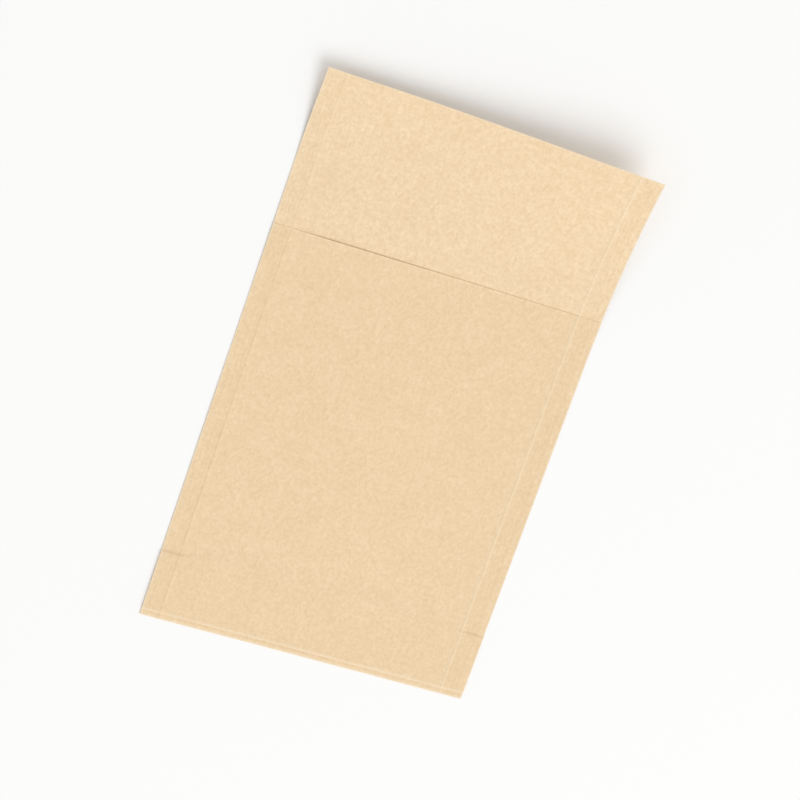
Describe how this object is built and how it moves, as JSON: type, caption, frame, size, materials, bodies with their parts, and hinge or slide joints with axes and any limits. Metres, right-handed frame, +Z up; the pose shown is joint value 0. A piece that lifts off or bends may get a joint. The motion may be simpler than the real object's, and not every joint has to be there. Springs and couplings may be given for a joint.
{
  "type": "paper tea filter bag",
  "caption": "Flat empty paper tea filter bag with a tucked bottom gusset, crimped side seams and a single-sheet flap past its mouth, curled up a little at the free end.",
  "frame": {"origin": "middle of the bag's box, on the surface that it lies on", "axes": "+X across the bag's width, +Y from the folded bottom to the flap's free edge, +Z up, out of the short front"},
  "size_m": [0.1, 0.1678, 0.0127],
  "materials": {
    "filter_paper": "matte"
  },
  "bodies": {
    "root": {"filter_bag": "filter_paper"}
  },
  "joints": []
}
